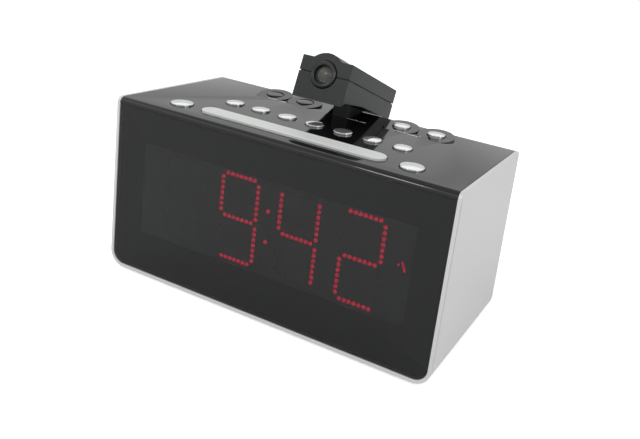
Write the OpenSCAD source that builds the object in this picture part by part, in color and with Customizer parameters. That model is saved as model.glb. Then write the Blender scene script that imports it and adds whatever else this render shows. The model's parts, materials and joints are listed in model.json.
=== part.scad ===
// Projection alarm clock: a box-shaped housing with a smoked display window, a row of keys
// and a snooze bar on top, and a projector pod that tilts on a fixed neck.
// Body frame: x to the right, y rearwards from the front face, z up from the top face.

/* [Housing] */
// Width over the silver side walls
body_w = 188.2; // [174:0.2:204]
// Height of the housing without its feet
front_h = 93.1; // [88:0.1:104]
// Depth of the top face, front to rear
top_d = 88.2; // [82:0.1:97]
// Angle by which the rear face runs outwards below
rear_slant = 1.6; // [1:0.1:4]
// Radius of the two lower corners, seen from the front
corner_r = 8.5; // [6:0.1:12]
// Radius of the front and rear edges of the top cover
edge_r = 3.3; // [2:0.1:4]
// Wall of the silver shell, also the width of its rim round the window
wall = 1.8; // [1.4:0.1:2.4]
// Thickness of the top cover's plate
cover_t = 2.5; // [2:0.1:3]
// Thickness of the rear cover
rear_t = 2.4; // [2.2:0.1:3]
// Gap between the shell and what sits inside its rim
rim_gap = 0.12; // [0.05:0.01:0.2]
// Depth of the line cut into each side wall
groove_depth = 0.5; // [0.3:0.1:0.8]
// Distance of that line behind the front edge
groove_y = 1.1; // [0.9:0.1:3]
// Diameter of a rubber foot
foot_d = 12; // [8:1:16]
// Height that a foot stands below the housing
foot_h = 1.5; // [1:0.1:3]

/* [Display] */
// Thickness of the smoked front window
window_t = 2; // [1.6:0.1:3]
// Distance that the window sits behind the rim
window_set = 0.4; // [0.2:0.1:0.8]
// Thickness of the black mask behind the window
mask_t = 0.7; // [0.5:0.1:1]
// Width of the mask at each side of the clear part, with the silver wall
mask_side = 17.6; // [16:0.1:20]
// Height of the clear part of the mask
view_h = 49.2; // [48:0.2:52]
// Height of the display's centre below the top face
view_z = 45.65; // [43:0.05:48]
// Distance of the digits' middle right of the housing's middle
digits_x = -0.1; // [-2:0.1:2]
// Distance between neighbouring digits
digit_pitch = 33.9; // [32:0.1:35]
// Width of a digit between its dot columns
digit_w = 20.6; // [19:0.1:22]
// Height of a digit between its top and bottom dot rows
digit_h = 43.9; // [42:0.1:45]
// Diameter of one light dot
dot_d = 2; // [1.8:0.1:2.4]
// Distance of a segment's end dots from the digit's corner or middle line
dot_end = 2.56; // [2.2:0.02:3]
// Distance of the alarm indicator from the side of the clear part
indicator_inset = 5; // [4.6:0.1:6]
// Thickness of the printed circuit boards
pcb_t = 1.6; // [1:0.1:2]

/* [Keys] */
// Distance between neighbouring keys of the row
key_pitch = 16.4; // [15:0.1:17]
// Distance of the key row behind the front face
row_y = 38.7; // [37:0.1:42]
// Diameter of a row key
row_d = 9.4; // [8:0.2:10]
// Distance of the two large keys from the nearer side
end_inset = 29.4; // [28:0.1:32]
// Distance of the two large keys behind the front face
end_y = 14.7; // [12.6:0.1:16]
// Diameter of a large key
end_d = 11.4; // [10:0.1:12]
// Distance between the snooze bar's ends and the large keys
snooze_gap = 7.7; // [5:0.1:10]
// Width of the snooze bar
snooze_w = 10.3; // [9:0.1:12]
// Distance of the snooze bar's middle behind the front face
snooze_y = 15.4; // [14:0.1:20]
// Distance of the rear keys before the rear edge of the top face
rear_inset = 15.4; // [14:0.1:17]
// Distance of the right inner rear key from the middle
rear_right_x = 33.2; // [30:0.1:35]
// Distance of the left inner rear key from the middle
rear_left_x = 26.5; // [25.6:0.1:32]
// Distance between the two rear keys of one side
rear_pitch = 20; // [19.8:0.1:21]
// Diameter of a rear key
rear_d = 9.4; // [8.6:0.1:10]
// Height of a silver key's edge above what surrounds it
key_rise = 0.9; // [0.6:0.1:1.2]
// Height of the dome on a key
key_dome = 0.6; // [0.3:0.1:1]
// Travel of a key
key_travel = 0.6; // [0.3:0.1:0.9]
// Gap all round a key
key_gap = 0.3; // [0.2:0.05:0.5]
// Height of a black key's edge above the middle of its boss
low_rise = 0.1; // [0:0.1:0.4]
// Diameter of the round boss that a rear key sits in
boss_d = 19.6; // [18:0.1:19.6]
// Height of that boss at its rear; its top slopes down to the cover in front
boss_h = 2.1; // [1.4:0.1:2.4]

/* [Projector] */
// Width of the projector pod
pod_w = 28.9; // [27:0.1:30]
// Length of the pod
pod_l = 63; // [60:0.2:66]
// Height of the pod over its level underside
pod_h = 17.4; // [17.2:0.1:18]
// Height of the pod where its underside meets the chin
keel_h = 19.5; // [18.6:0.1:20]
// Distance behind the pod's front face at which its underside becomes level
keel_l = 23.5; // [20:0.5:27]
// Height of the pod at its front face
chin_h = 21.8; // [20.4:0.1:22.2]
// Length of the chin's curve below the pod's front face
chin_l = 4.5; // [3:0.1:6]
// Depth of the joint line between the pod's halves below its top edge
part_h = 8.1; // [7.6:0.1:8.6]
// Wall of the pod
pod_wall = 1.5; // [1.2:0.1:1.8]
// Angle that the pod points up from the top face
pod_pitch = 19.6; // [19:0.1:20]
// Gap between the pod's underside and the rear edge of the top face
rest_gap = 0.3; // [0.2:0.05:1]
// Width of the neck
neck_w = 8.8; // [8:0.1:10]
// Depth of the neck, front to rear, and diameter of its round head
neck_d = 18.6; // [17:0.1:19.4]
// Distance of the neck before the rear edge of the top face
neck_inset = 13.9; // [13:0.1:15]
// Distance of the tilt pin behind the pod's front face
pivot_a = 36.2; // [36:0.1:38]
// Depth of the tilt pin below the pod's top edge
pivot_d = 12.7; // [12.4:0.1:13.2]
// Diameter of the tilt pin
pin_d = 3; // [2.4:0.1:3.2]
// Running clearance on a radius
run_gap = 0.05; // [0.03:0.01:0.08]
// Diameter of the focus ring
ring_d = 14; // [13.6:0.1:14.4]
// Diameter of the projection lens
lens_d = 10; // [9.4:0.1:10.4]
// Radius of the hump over the lens
hump_r = 11.2; // [10.4:0.1:11.6]
// Length of the hump
hump_l = 20; // [18:1:26]

/* [Inside] */
// Diameter of the loudspeaker
speaker_d = 54; // [48:1:58]
// Distance of the loudspeaker's centre from the left side
speaker_inset = 46; // [42:1:48]
// Height of the loudspeaker's centre along the rear face, below the top
speaker_z = 44; // [42:1:46]
// Diameter of a backup cell
cell_d = 10.5; // [10:0.1:10.5]
// Length of a backup cell
cell_l = 44.5; // [44:0.1:44.5]
// Distance of the battery box's centre from the right side
box_inset = 64; // [61:1:66]
// Height of the battery box's centre along the rear face, below the top
box_z = 46; // [42:1:48]
// Diameter of the mains lead's bore in its gland
lead_d = 5.2; // [4.6:0.1:6]
// Distance of the gland from the right side
gland_inset = 22; // [20:1:24]
// Height of the gland along the rear face, below the top
gland_z = 72; // [68:1:74]
// Diameter of a screw's shank
screw_d = 2.5; // [2:0.1:3]

/* [Hidden] */
$fn = 48;
// Length by which cutting bodies run past what they cut
over = 50;
half_w = body_w / 2;
inner_w = body_w - 2 * wall;
seat_w = inner_w - 2 * rim_gap;
lip_z = edge_r + rim_gap;
rear_len = front_h / cos(rear_slant);
floor_d = top_d + front_h * tan(rear_slant);
neck_y = top_d - neck_inset;
// Height of the tilt pin at which the level underside just clears the rear edge
pivot_z = (rest_gap + edge_r + pod_h - pivot_d + sin(pod_pitch) * (neck_inset - edge_r))
    / cos(pod_pitch) - edge_r;
tail_a = pod_l - pivot_a;
tail_y = neck_y + tail_a * cos(pod_pitch) + pivot_d * sin(pod_pitch);
rear_reach = max(tail_y, floor_d);
shift_y = -rear_reach / 2;
shift_z = front_h + foot_h;
mask_y = window_set + window_t;
block_y = mask_y + mask_t;
block_face = block_y + 0.6;
block_t = 6;
board_y = block_y + block_t;
view_w = body_w - 2 * mask_side;
board_w = view_w + 10;
board_h = view_h + 8;
lit_rise = 0.4;
seg_dots = 7;
colon_rise = 0.9;
colon_gap = 15.8;
indicator_d = 1.1;
indicator_z = 5.6;
row_n = 7;
end_x = half_w - end_inset;
snooze_l = 2 * (end_x - end_d / 2 - snooze_gap);
rear_y = top_d - rear_inset;
// How far a boss's sloping top starts below the cover's face
boss_sunk = 0.15;
boss_mid = (boss_h - boss_sunk) / 2;
key_flange_t = 1;
key_flange_w = 0.9;
key_stem_d = 3.2;
key_stem_z = cover_t + 3.6;
switch_rise = 0.7;
switch_h = 3.5;
switch_w = 6;
contact_gap = 0.15;
plunger_z = key_stem_z + key_travel + contact_gap;
key_board_z = plunger_z + switch_rise + switch_h;
key_board_w = 2 * (end_x + 12);
key_board_front = 5.5;
key_board_rear = rear_y + switch_w / 2 + 0.3;
post_d = 5;
post_hole_d = 1.9;
post_xs = [36 - half_w, half_w - 36];
post_ys = [26, top_d - 29];
small_head_d = 3.6;
small_head_h = 1.2;
board_screw_l = 6;
snooze_stem_x = snooze_l / 4;
floor_board_w = 74;
floor_board_d = 44;
floor_board_x = -6;
floor_board_y = 40;
floor_board_z = 6;
rib_w = 3;
rib_t = 2;
screw_head_d = 5.4;
screw_head_h = 1.6;
screw_l = 9;
lug_w = 8;
lug_d = 9;
lug_x = half_w - wall - 7;
lug_low = 9;
lug_high = 9;
foot_x = half_w - 16;
foot_inset = 13;
neck_boss_h = 4;
neck_boss_d = 6;
neck_boss_x = 11;
neck_foot_t = 2;
neck_foot_w = 28;
neck_foot_d = 14;
neck_foot_z = cover_t + neck_boss_h + neck_foot_t;
neck_bore_d = 3.2;
knuckle_d = 7.2;
ear_t = 2.5;
ear_gap = 0.3;
lens_z = part_h - 0.1;
ring_front = 1.4;
ring_t = 4.4;
lens_seat = 1.9;
cell_spigot_d = 12.4;
cell_bore_d = lens_d - 1.2;
cell_spigot_l = 6;
barrel_d = 14.4;
barrel_front = 3.4;
barrel_l = 12.6;
recess_d = ring_d + 0.4;
hump_run = 6;
slide_t = 1;
led_d = 5;
led_board_a = barrel_front + barrel_l + slide_t + 6.2;
part_gap = 0.3;
pod_post_d = 5.2;
cell_gap = 0.6;
contact_room = 3.25;
box_in_w = cell_l + 2 * contact_room;
box_in_h = 2 * cell_d + cell_gap + 2.4;
box_depth = 14;
box_wall = 1.2;
ledge = 1;
door_gap = 0.2;
door_t = 2;
door_pin_d = 1.3;
door_pin_l = 1.6;
cell_y = 8.3;
speaker_x = half_w - speaker_inset;
box_x = half_w - box_inset;
gland_x = half_w - gland_inset;
transformer_x = half_w - 32;
transformer_y = 42;
core_w = 36;
core_d = 14;
core_h = 30;
core_leg = 11;
core_slot_w = 7;
core_slot_h = 18;
coil_d = 26;
chip_h = 2.4;
can_d = 6.3;
can_h = 11;

// ---------- frames and outlines ----------

// Puts the body frame on its feet, with the origin under the middle of the whole object
module standing() {
    translate([0, shift_y, shift_z]) children();
}

// y runs rearwards along the underside, z is its inward normal
module floor_frame() {
    translate([0, 0, -front_h]) children();
}

// z runs up along the rear face, y is its outward normal
module rear_frame() {
    translate([0, top_d, 0]) rotate([rear_slant, 0, 0]) children();
}

// y runs rearwards along the pod from its front face, z is down to minus the pod's height
module pod_frame() {
    translate([0, neck_y, pivot_z]) rotate([-pod_pitch, 0, 0])
        translate([0, -pivot_a, pivot_d]) children();
}

// Extrudes a (y, z) outline along x, centred
module along_x(width) {
    rotate([90, 0, 90]) linear_extrude(width, center = true) children();
}

// Extrudes an (x, z) outline from y = start over a length
module along_y(start, length) {
    translate([0, start + length, 0]) rotate([90, 0, 0]) linear_extrude(length) children();
}

module box_at(low, high) {
    translate(low) cube(high - low);
}

// A round bar along y
module bar_y(d, start, length) {
    translate([0, start, 0]) rotate([-90, 0, 0]) cylinder(d = d, h = length);
}

// A round bar along x, centred
module bar_x(d, length) {
    rotate([0, 90, 0]) cylinder(d = d, h = length, center = true);
}

// A bar with round ends along x, standing on z = 0
module stadium(length, width, height) {
    cube([length - width, width, 2 * height], center = true);
    for (side = [-1, 1]) translate([side * (length - width) / 2, 0, -height])
        cylinder(d = width, h = 2 * height);
}

function arc(cy, cz, r, from, to, steps) =
    [for (i = [0:steps]) let (a = from + (to - from) * i / steps) [cy + r * cos(a), cz + r * sin(a)]];

// Side view of the housing, shrunk by an inset on the front, top and rear
module side_outline(inset = 0) {
    r = edge_r - inset;
    drop = front_h + over;
    polygon(concat(
        arc(edge_r, -edge_r, r, 180, 90, 6),
        arc(top_d - edge_r, -edge_r, r, 90, rear_slant, 6),
        [[top_d - inset + drop * tan(rear_slant), -drop], [inset, -drop]]));
}

// The space above the underside and inside the lower corners, shrunk by an inset
module trough(inset) {
    w = body_w - 2 * inset;
    r = max(corner_r - inset, 0.5);
    floor_frame() along_y(-over, floor_d + 2 * over) {
        translate([-w / 2, inset + r]) square([w, front_h + over]);
        translate([-w / 2 + r, inset]) square([w - 2 * r, front_h + over]);
        for (side = [-1, 1]) translate([side * (w / 2 - r), inset + r]) circle(r);
    }
}

// ---------- housing ----------

module silver_shell() color("silver") standing() {
    difference() {
        intersection() {
            along_x(body_w) side_outline();
            trough(0);
        }
        trough(wall);
        side_grooves();
    }
    for (side = [-1, 1]) window_rib(side);
    floor_frame() translate([floor_board_x, floor_board_y, 0])
        for (p = board_corners()) translate([p[0], p[1], 0]) floor_post();
    for (side = [-1, 1]) low_lug(side);
}

// A fine line down each side wall, just behind the rim
module side_grooves() {
    for (side = [-1, 1]) translate([side * half_w, groove_y, -(lip_z + front_h - corner_r) / 2 - 0.2])
        cube([2 * groove_depth, 0.6, front_h - corner_r - lip_z], center = true);
}

// The rib that the window and its mask rest against
module window_rib(side) {
    translate([side * (inner_w / 2 - rib_w / 2 + wall / 4), block_y + rib_t / 2, -front_h / 2])
        cube([rib_w + wall / 2, rib_t, front_h - 2 * corner_r - 4], center = true);
}

// Places of the main board's posts about its middle
function board_corners() = [for (x = [-1, 1], y = [-1, 1])
    [x * (floor_board_w / 2 - 4), y * (floor_board_d / 2 - 4)]];

// A post that runs from inside the floor up to the main board
module floor_post() {
    difference() {
        translate([0, 0, wall / 2]) cylinder(d = post_d, h = floor_board_z - wall / 2);
        translate([0, 0, wall + 0.5]) cylinder(d = post_hole_d, h = floor_board_z);
    }
}

// A block on the floor that takes a rear cover screw
module low_lug(side) {
    difference() {
        intersection() {
            rear_frame() box_at([side * lug_x - lug_w / 2, -rear_t - lug_d, -rear_len],
                                [side * lug_x + lug_w / 2, -rear_t, -rear_len + wall + lug_low]);
            trough(wall / 2);
        }
        rear_screw_hole(side, -rear_len + wall + lug_low / 2 + 1, screw_d + 2 * run_gap);
    }
}

module rear_screw_hole(side, z, d) {
    rear_frame() translate([side * lug_x, 0, z]) bar_y(d, -rear_t - screw_l, screw_l + 2 * rear_t);
}

module top_cover() color([0.03, 0.03, 0.035]) standing() {
    difference() {
        union() {
            along_x(seat_w) difference() {
                side_outline();
                translate([cover_t, -2 * front_h - cover_t]) square([top_d - 2 * cover_t, 2 * front_h]);
                translate([-1, -2 * front_h - edge_r]) square([top_d + over, 2 * front_h]);
            }
            rear_bosses();
            key_board_posts();
            for (side = [-1, 1]) neck_boss(side);
            for (side = [-1, 1]) high_lug(side);
        }
        key_holes();
        translate([0, neck_y, 0])
            cube([neck_w + 2 * rim_gap, neck_d + 2 * rim_gap, 3 * cover_t], center = true);
        for (side = [-1, 1])
            rear_screw_hole(side, -cover_t - lug_high / 2, screw_d + 2 * run_gap);
    }
}

// A boss below the cover that takes a screw of the neck's foot
module neck_boss(side) {
    translate([side * neck_boss_x, neck_y, -cover_t - neck_boss_h]) difference() {
        cylinder(d = neck_boss_d, h = neck_boss_h + cover_t / 2);
        translate([0, 0, -1]) cylinder(d = post_hole_d, h = neck_boss_h + 1);
    }
}

// Round bosses of the rear keys, whose tops slope up from the cover to their rear
module rear_bosses() {
    front = rear_y - boss_d / 2;
    rear = rear_y + boss_d / 2;
    intersection() {
        for (x = rear_xs()) translate([x, rear_y, -cover_t / 2]) cylinder(d = boss_d, h = over);
        along_x(body_w) polygon([[front, -boss_sunk], [rear, boss_h], [rear, -cover_t], [front, -cover_t]]);
    }
}

function rear_xs() = concat([for (i = [1, 0]) -rear_left_x - i * rear_pitch],
                            [for (i = [0, 1]) rear_right_x + i * rear_pitch]);

module key_board_posts() {
    for (x = post_xs, y = post_ys) translate([x, y, -key_board_z]) difference() {
        cylinder(d = post_d, h = key_board_z - cover_t / 2);
        translate([0, 0, -1]) cylinder(d = post_hole_d, h = 7);
    }
}

module high_lug(side) {
    rear_frame() box_at([side * lug_x - lug_w / 2, -rear_t - lug_d, -cover_t - lug_high],
                        [side * lug_x + lug_w / 2, -rear_t, -cover_t + 0.5]);
}

module key_holes() {
    for (i = [1:row_n]) translate([row_key_x(i), row_y, 0]) key_hole(row_d);
    for (side = [-1, 1]) translate([side * end_x, end_y, 0]) key_hole(end_d);
    for (x = rear_xs()) translate([x, rear_y, 0]) key_hole(rear_d);
    translate([0, snooze_y, 0]) stadium(snooze_l + 2 * key_gap, snooze_w + 2 * key_gap, 8);
}

module key_hole(d) {
    translate([0, 0, -cover_t - 1]) cylinder(d = d + 2 * key_gap, h = cover_t + boss_h + 2);
}

module rear_cover() color([0.05, 0.05, 0.055]) standing() {
    difference() {
        union() {
            intersection() {
                rear_frame() box_at([-seat_w / 2, -rear_t, -rear_len - 5], [seat_w / 2, 0, -lip_z]);
                trough(wall + rim_gap);
            }
            rear_frame() battery_box();
            rear_frame() translate([-speaker_x, 0, -speaker_z]) speaker_collar();
        }
        rear_frame() {
            translate([box_x, 0, -box_z]) battery_opening();
            translate([-speaker_x, 0, -speaker_z]) speaker_slots();
            translate([gland_x, 0, -gland_z]) bar_y(gland_body_d() + 0.1, -rear_t - 1, rear_t + 2);
            vent_slots();
        }
        for (side = [-1, 1]) {
            rear_screw_hole(side, -rear_len + wall + lug_low / 2 + 1, screw_d + 0.8);
            rear_screw_hole(side, -cover_t - lug_high / 2, screw_d + 0.8);
        }
    }
}

module battery_box() {
    translate([box_x, 0, -box_z])
        box_at([-box_in_w / 2 - box_wall, -box_depth - box_wall, -box_in_h / 2 - box_wall],
               [box_in_w / 2 + box_wall, -rear_t / 2, box_in_h / 2 + box_wall]);
}

// Cavity, door recess and hinge holes, about the box's centre
module battery_opening() {
    low_z = -box_in_h / 2 - ledge;
    box_at([-box_in_w / 2, -box_depth, -box_in_h / 2], [box_in_w / 2, 1, box_in_h / 2]);
    box_at([-door_w() / 2 - door_gap, -door_t - 0.1, low_z],
           [door_w() / 2 + door_gap, 1, box_in_h / 2 + ledge]);
    translate([0, -door_t / 2, low_z]) bar_x(door_t + 2 * door_gap, door_w() + 2 * door_gap);
    box_at([-door_w() / 2 - door_gap, -door_t / 2, low_z - door_t / 2 - door_gap],
           [door_w() / 2 + door_gap, 1, low_z]);
    translate([0, -door_t / 2, low_z]) bar_x(door_pin_d + 2 * run_gap, door_w() + 2 * door_pin_l + 0.6);
}

function door_w() = box_in_w + 2 * ledge;
function gland_body_d() = lead_d + 3.6;

module speaker_collar() {
    difference() {
        bar_y(speaker_d + 4, -rear_t - 2.6, 2.7);
        bar_y(speaker_d + 0.4, -rear_t - 3, 4);
    }
}

// Horizontal slots of the loudspeaker grille, as long as its circle allows
module speaker_slots() {
    reach = speaker_d / 2 - 6;
    pitch = 5;
    for (k = [-4:4]) let (z = k * pitch, half = sqrt(max(reach * reach - z * z, 1)))
        if (abs(z) < reach - 2) box_at([-half, -rear_t - 1, z - 1.1], [half, 1, z + 1.1]);
}

module vent_slots() {
    for (k = [0:5]) box_at([box_x - 24 + k * 9, -rear_t - 1, -20], [box_x - 18 + k * 9, 1, -18]);
}

module rubber_feet() color([0.08, 0.08, 0.08]) standing() floor_frame()
    for (side = [-1, 1], y = [foot_inset, floor_d - foot_inset])
        translate([side * foot_x, y, -foot_h]) cylinder(d = foot_d, h = foot_h);

// A pan-head screw along y, its head's underside at y = 0 and its shank towards -y
module screw(length, d) {
    bar_y(d, -length, length);
    bar_y(screw_head_d, 0, screw_head_h);
}

module rear_cover_screws() color("dimgray") standing() rear_frame()
    for (side = [-1, 1], z = [-rear_len + wall + lug_low / 2 + 1, -cover_t - lug_high / 2])
        translate([side * lug_x, 0, z]) difference() {
            screw(screw_l, screw_d);
            cross_slot(screw_head_h);
        }

module cross_slot(top) {
    for (turn = [0, 90]) translate([0, top, 0]) rotate([0, turn, 0])
        cube([3.2, 1.4, 0.7], center = true);
}

// ---------- display ----------

module window_blank(start, thickness) {
    intersection() {
        box_at([-seat_w / 2, start, -front_h - 5], [seat_w / 2, start + thickness, -lip_z]);
        trough(wall + rim_gap);
    }
}

module front_window() color([0.1, 0.1, 0.1, 0.5]) standing() window_blank(window_set, window_t);

module window_mask() color("black") standing() difference() {
    window_blank(mask_y, mask_t);
    translate([0, mask_y, -view_z]) cube([view_w, 4 * mask_t, view_h], center = true);
}

// The display's moulded block: a frame that meets the mask, and a sunk face for the dots
module display_block() color([0.06, 0.06, 0.06]) standing() translate([0, block_y, -view_z]) difference() {
    translate([0, block_t / 2, 0]) cube([board_w, block_t, board_h], center = true);
    cube([view_w, 2 * (block_face - block_y), view_h], center = true);
}

// Each segment's dots about its digit's centre: a b c d e f g, clockwise from the top
function run(n) = [for (i = [0:n - 1]) i / (n - 1)];
function segment(s) = let (w = digit_w / 2, h = digit_h / 2, e = dot_end)
    [for (t = run(seg_dots))
        s == 0 ? [lerp(-w + e, w - e, t), h] :
        s == 1 ? [w, lerp(h - e, e, t)] :
        s == 2 ? [w, lerp(-e, e - h, t)] :
        s == 3 ? [lerp(-w + e, w - e, t), -h] :
        s == 4 ? [-w, lerp(-e, e - h, t)] :
        s == 5 ? [-w, lerp(h - e, e, t)] :
                 [lerp(-w + e, w - e, t), 0]];
function lerp(a, b, t) = a + (b - a) * t;

// Segments alight in each of the four places, which read 9:42
lit_segments = [[], [0, 1, 2, 3, 5, 6], [1, 2, 5, 6], [0, 1, 3, 4, 6]];
function place_x(k) = (k - 1.5) * digit_pitch;
function is_lit(k, s) = len([for (v = lit_segments[k]) if (v == s) 1]) > 0;

module dot(p, d = dot_d) {
    translate([p[0], block_face - lit_rise, -view_z + p[1]]) rotate([-90, 0, 0])
        cylinder(d = d, h = lit_rise, $fn = 12);
}

module digit_dots(lit) {
    for (k = [0:3], s = [0:6]) if (is_lit(k, s) == lit) for (p = segment(s))
        dot([digits_x + place_x(k) + p[0], p[1]]);
}

module display_dots_lit() color("crimson") standing() {
    digit_dots(true);
    for (side = [-1, 1]) dot([digits_x, colon_rise + side * colon_gap / 2]);
    // alarm indicator: a plain spot with a short tail
    indicator_x = view_w / 2 - indicator_inset;
    for (k = [0:3])
        dot([indicator_x + 0.45 * indicator_d * k, indicator_z - 1.1 * indicator_d * k], indicator_d);
    dot([indicator_x - 1.55 * indicator_d, indicator_z - 1.3 * indicator_d], indicator_d);
}

module display_dots_unlit() color([0.15, 0.03, 0.04]) standing() digit_dots(false);

module display_board() color("darkgreen") standing() translate([0, board_y + pcb_t / 2, -view_z])
    cube([board_w - 4, pcb_t, board_h - 4], center = true);

// ---------- keys ----------

function row_key_x(i) = (i - (row_n + 1) / 2) * key_pitch;

// A domed key: cap, retaining flange below the cover and a stem down to its switch
module key(d, base = 0) {
    top = base + key_rise;
    r = d / 2;
    ball = (r * r + key_dome * key_dome) / (2 * key_dome);
    sweep = asin(r / ball);
    flange_r = r + key_gap + key_flange_w;
    flange_top = -cover_t - 0.2;
    rotate_extrude() polygon(concat(
        [for (i = [0:6]) let (a = sweep * i / 6) [ball * sin(a), top + key_dome - ball + ball * cos(a)]],
        [[r, flange_top], [flange_r, flange_top], [flange_r, flange_top - key_flange_t],
         [key_stem_d / 2, flange_top - key_flange_t], [key_stem_d / 2, -key_stem_z], [0, -key_stem_z]]));
}

module row_key(i) color("gainsboro") standing() translate([row_key_x(i), row_y, 0]) key(row_d);

module large_key(side) color("gainsboro") standing() translate([side * end_x, end_y, 0]) key(end_d);

module right_rear_key(i) color("gainsboro")
    standing() translate([rear_right_x + (i - 1) * rear_pitch, rear_y, 0]) key(rear_d, boss_mid);

module left_rear_key(i) color([0.04, 0.04, 0.05])
    standing() translate([-rear_left_x - (i - 1) * rear_pitch, rear_y, 0])
        key(rear_d, boss_mid + low_rise - key_rise);

module snooze_bar() color("whitesmoke") standing() translate([0, snooze_y, 0]) {
    top = key_rise + key_dome / 2;
    flange = key_gap + key_flange_w;
    translate([0, 0, (top - cover_t) / 2]) stadium(snooze_l, snooze_w, (top + cover_t) / 2);
    translate([0, 0, -cover_t - 0.2 - key_flange_t / 2])
        stadium(snooze_l + 2 * flange, snooze_w + 2 * flange, key_flange_t / 2);
    for (side = [-1, 1]) translate([side * snooze_stem_x, 0, -key_stem_z]) cylinder(d = key_stem_d, h = 4);
}

function switch_places() = concat(
    [for (i = [1:row_n]) [row_key_x(i), row_y]],
    [for (side = [-1, 1]) [side * end_x, end_y]],
    [for (x = rear_xs()) [x, rear_y]],
    [for (side = [-1, 1]) [side * snooze_stem_x, snooze_y]]);

module key_board() color("darkgreen") standing() difference() {
    box_at([-key_board_w / 2, key_board_front, -key_board_z - pcb_t],
           [key_board_w / 2, key_board_rear, -key_board_z]);
    translate([0, neck_y - neck_d / 4, -key_board_z - 2 * pcb_t])
        cylinder(d = 2 * neck_bore_d, h = 4 * pcb_t);
    for (x = post_xs, y = post_ys) translate([x, y, -key_board_z - 2 * pcb_t])
        cylinder(d = post_hole_d + 0.6, h = 4 * pcb_t);
}

module key_switches() color("dimgray") standing() for (p = switch_places())
    translate([p[0], p[1], -key_board_z]) {
        translate([0, 0, switch_h / 2]) cube([switch_w, switch_w, switch_h], center = true);
        cylinder(d = 3.4, h = switch_h + switch_rise);
    }

// A small screw that stands on its head, its shank over a length
module small_screw(length) {
    cylinder(d = post_hole_d - 2 * run_gap, h = length);
    translate([0, 0, -small_head_h]) cylinder(d = small_head_d, h = small_head_h);
}

module key_board_screws() color("silver") standing() for (x = post_xs, y = post_ys)
    translate([x, y, -key_board_z - pcb_t]) small_screw(board_screw_l);

// ---------- neck and projector ----------

// A flat fin with a round head, that stands through the cover on a foot screwed below it
module neck() color([0.05, 0.05, 0.055]) standing() translate([0, neck_y, 0]) difference() {
    union() {
        translate([0, 0, pivot_z]) bar_x(neck_d, neck_w);
        box_at([-neck_w / 2, -neck_d / 2, -neck_foot_z], [neck_w / 2, neck_d / 2, pivot_z]);
        box_at([-neck_foot_w / 2, -neck_foot_d / 2, -neck_foot_z],
               [neck_foot_w / 2, neck_foot_d / 2, neck_foot_t - neck_foot_z]);
    }
    translate([0, 0, pivot_z]) bar_x(pin_d + 2 * run_gap, neck_w + 2);
    translate([0, -neck_d / 4, -neck_foot_z - 1])
        cylinder(d = neck_bore_d, h = neck_foot_z + pivot_z + neck_d);
    for (side = [-1, 1]) translate([side * neck_boss_x, 0, -neck_foot_z - 1])
        cylinder(d = post_hole_d + 0.3, h = neck_foot_t + 2);
}

module neck_screws() color("silver") standing() for (side = [-1, 1])
    translate([side * neck_boss_x, neck_y, -neck_foot_z]) small_screw(neck_foot_t + neck_boss_h - 0.4);

module tilt_pin() color("silver") standing() translate([0, neck_y, pivot_z])
    bar_x(pin_d, neck_w + 2 * (ear_gap + ear_t));

// Side view of the pod, with its chin in front and its underside running up to level
module pod_outline(inset = 0) {
    heel = pod_wall + 0.3 - inset;
    polygon(concat(
        [[inset, -inset], [pod_l - inset, -inset]],
        arc(pod_l - pod_wall - 0.3, -pod_h + pod_wall + 0.3, heel, 0, -90, 4),
        [[keel_l, -pod_h + inset]],
        [for (i = [0:5]) let (t = i / 5)
            [max(chin_l * (1 - t), inset), inset - keel_h - (chin_h - keel_h) * t * t]],
        [[inset, -chin_h + inset]]));
}

// The whole pod with its hump, solid
module pod_solid(inset = 0) {
    along_x(pod_w - 2 * inset) pod_outline(inset);
    translate([0, 0, -lens_z]) intersection() {
        union() {
            bar_y(2 * (hump_r - inset), inset, hump_l - hump_run);
            translate([0, hump_l - hump_run, 0]) rotate([-90, 0, 0])
                cylinder(r1 = hump_r - inset, r2 = lens_z - 0.5 - inset, h = hump_run);
        }
        translate([-over, -over, 0]) cube(3 * over);
    }
}

// Everything below a depth under the pod's top edge
module below(depth) {
    translate([-over, -over, -depth - 2 * over]) cube([2 * over, 4 * over, 2 * over]);
}

module pod_upper() color([0.06, 0.065, 0.07]) standing() pod_frame() difference() {
    union() {
        difference() {
            pod_solid();
            pod_solid(pod_wall);
            below(part_h - part_gap);
        }
        for (p = pod_posts()) translate([p[0], p[1], -part_h])
            cylinder(d = pod_post_d, h = part_h - pod_wall / 2);
    }
    for (p = pod_posts()) translate([p[0], p[1], -part_h - 1])
        cylinder(d = post_hole_d, h = part_h - pod_wall);
    lens_recess();
}

// Places of the four screw posts, which run into the side walls
function pod_posts() = let (x = pod_w / 2 - pod_wall - pod_post_d / 2 + 0.2)
    [for (side = [-1, 1], a = [10, pod_l - 8]) [side * x, a]];

module lens_recess() {
    translate([0, 0, -lens_z]) bar_y(recess_d, -2, barrel_front + 1.6);
}

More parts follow.
